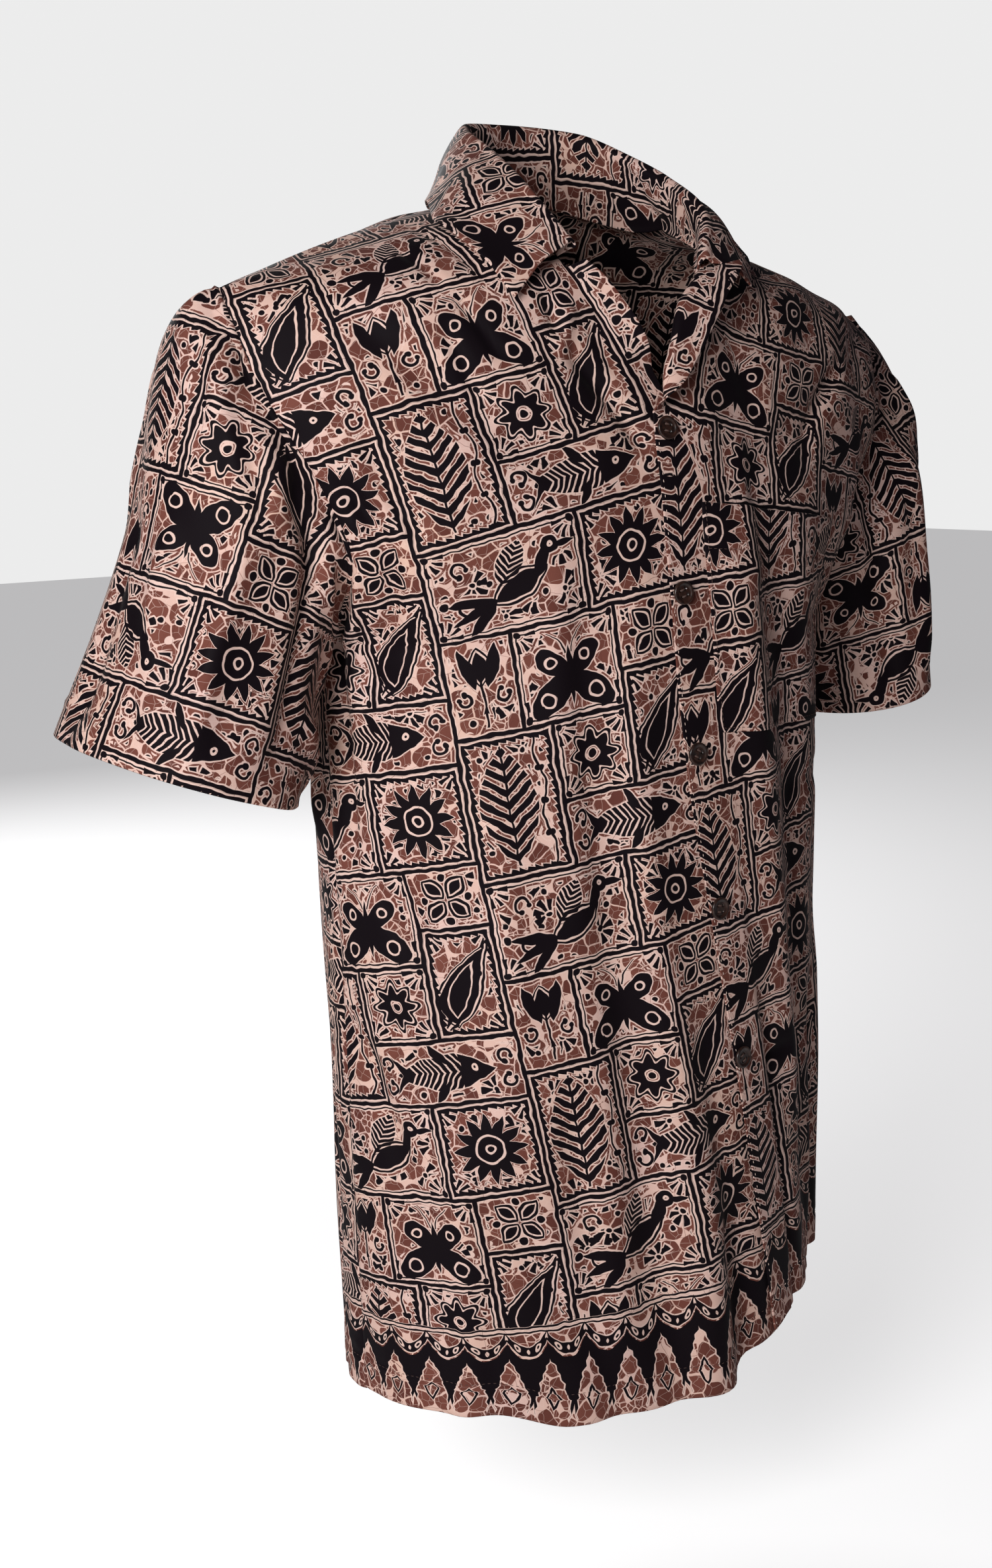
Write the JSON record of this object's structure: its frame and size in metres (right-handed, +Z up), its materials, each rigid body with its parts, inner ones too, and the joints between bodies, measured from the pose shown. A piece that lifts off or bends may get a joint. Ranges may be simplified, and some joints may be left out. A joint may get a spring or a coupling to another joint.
{
  "type": "batik shirt",
  "caption": "Short-sleeved camp shirt in printed cotton, worn form: open notched collar, buttoned front with the left side over the right, breast pocket, hollow body and sleeves.",
  "frame": {"origin": "middle of the neck at the height where the two shoulder seams begin, where the wearer's shoulders hold the shirt", "axes": "+Z up, -Y out of the front, +X to the wearer's left"},
  "size_m": [0.6259, 0.2529, 0.7682],
  "materials": {
    "cloth": "soft cotton with a slight sheen",
    "button": "semi-gloss"
  },
  "bodies": {
    "root": {"front_right": "cloth", "front_left": "cloth", "back": "cloth", "sleeve_right": "cloth", "sleeve_left": "cloth", "collar": "cloth", "pocket": "cloth", "button_1": "button", "button_2": "button", "button_3": "button", "button_4": "button", "button_5": "button"}
  },
  "joints": []
}
